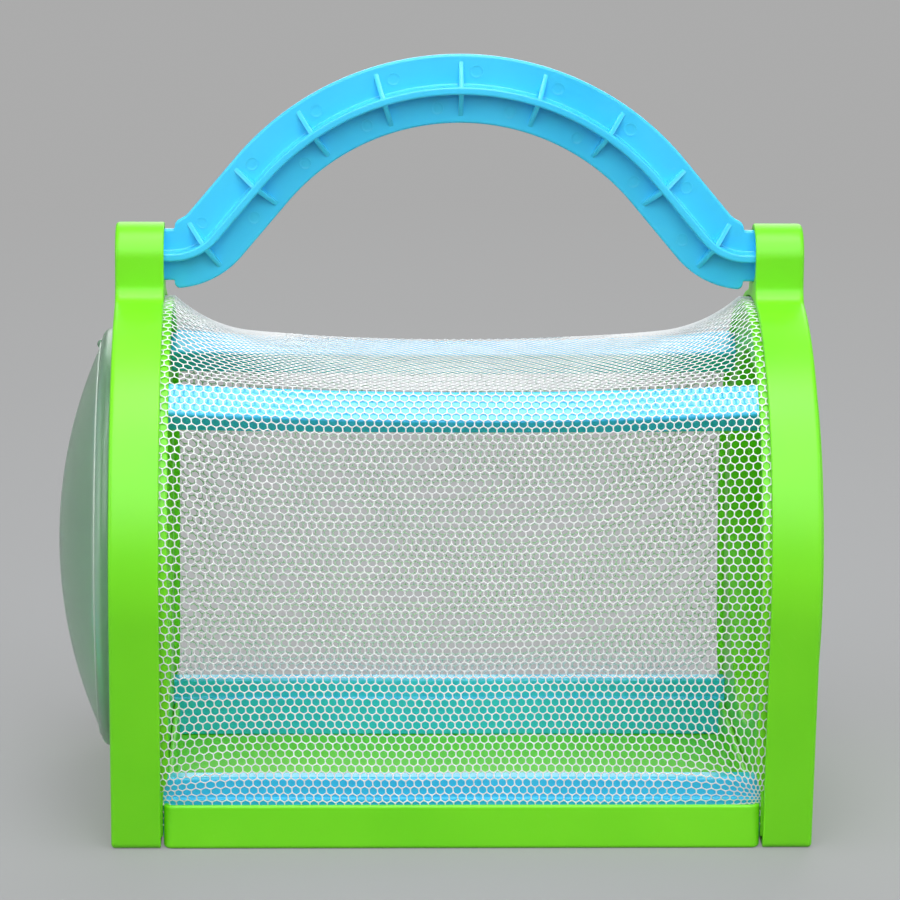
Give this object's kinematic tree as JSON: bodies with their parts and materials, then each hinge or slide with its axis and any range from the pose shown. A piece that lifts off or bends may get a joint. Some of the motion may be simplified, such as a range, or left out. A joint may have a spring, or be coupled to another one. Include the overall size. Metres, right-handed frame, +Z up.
{
  "type": "insect cage",
  "caption": "Small arched insect cage with plastic end frames, netting over four rails, a base tray, a swinging carrying handle and a domed clear lid on one end.",
  "frame": {"origin": "middle of the base tray's underside, halfway between the end frames", "axes": "+X along the cage from the domed lid's end to the capped end, -Y to the side that the picture shows, +Z up"},
  "size_m": [0.1862, 0.1246, 0.1871],
  "materials": {
    "green_plastic": "glossy lime-green moulded plastic",
    "blue_plastic": "glossy sky-blue moulded plastic",
    "white_net": "white knitted hexagonal net",
    "frosted_plastic": "frosted clear plastic"
  },
  "bodies": {
    "cage": {"left_end_frame": "green_plastic", "right_end_frame": "green_plastic", "left_net_hoop": "green_plastic", "right_net_hoop": "green_plastic", "base_tray": "green_plastic", "front_upper_rail": "blue_plastic", "rear_upper_rail": "blue_plastic", "front_lower_rail": "blue_plastic", "rear_lower_rail": "blue_plastic", "front_net": "white_net", "top_net": "white_net", "rear_net": "white_net", "right_end_cap": "green_plastic"},
    "handle": {"handle": "blue_plastic"},
    "lid": {"domed_lid": "frosted_plastic"}
  },
  "joints": [
    {"name": "handle_swing", "type": "hinge", "parent": "cage", "child": "handle", "pos_m": [0, 0, 0.1371], "axis": [1, 0, 0], "range_deg": [-90, 90]},
    {"name": "lid_pull", "type": "slide", "parent": "cage", "child": "lid", "axis": [-1, 0, 0], "range_m": [0, 0.06]}
  ]
}
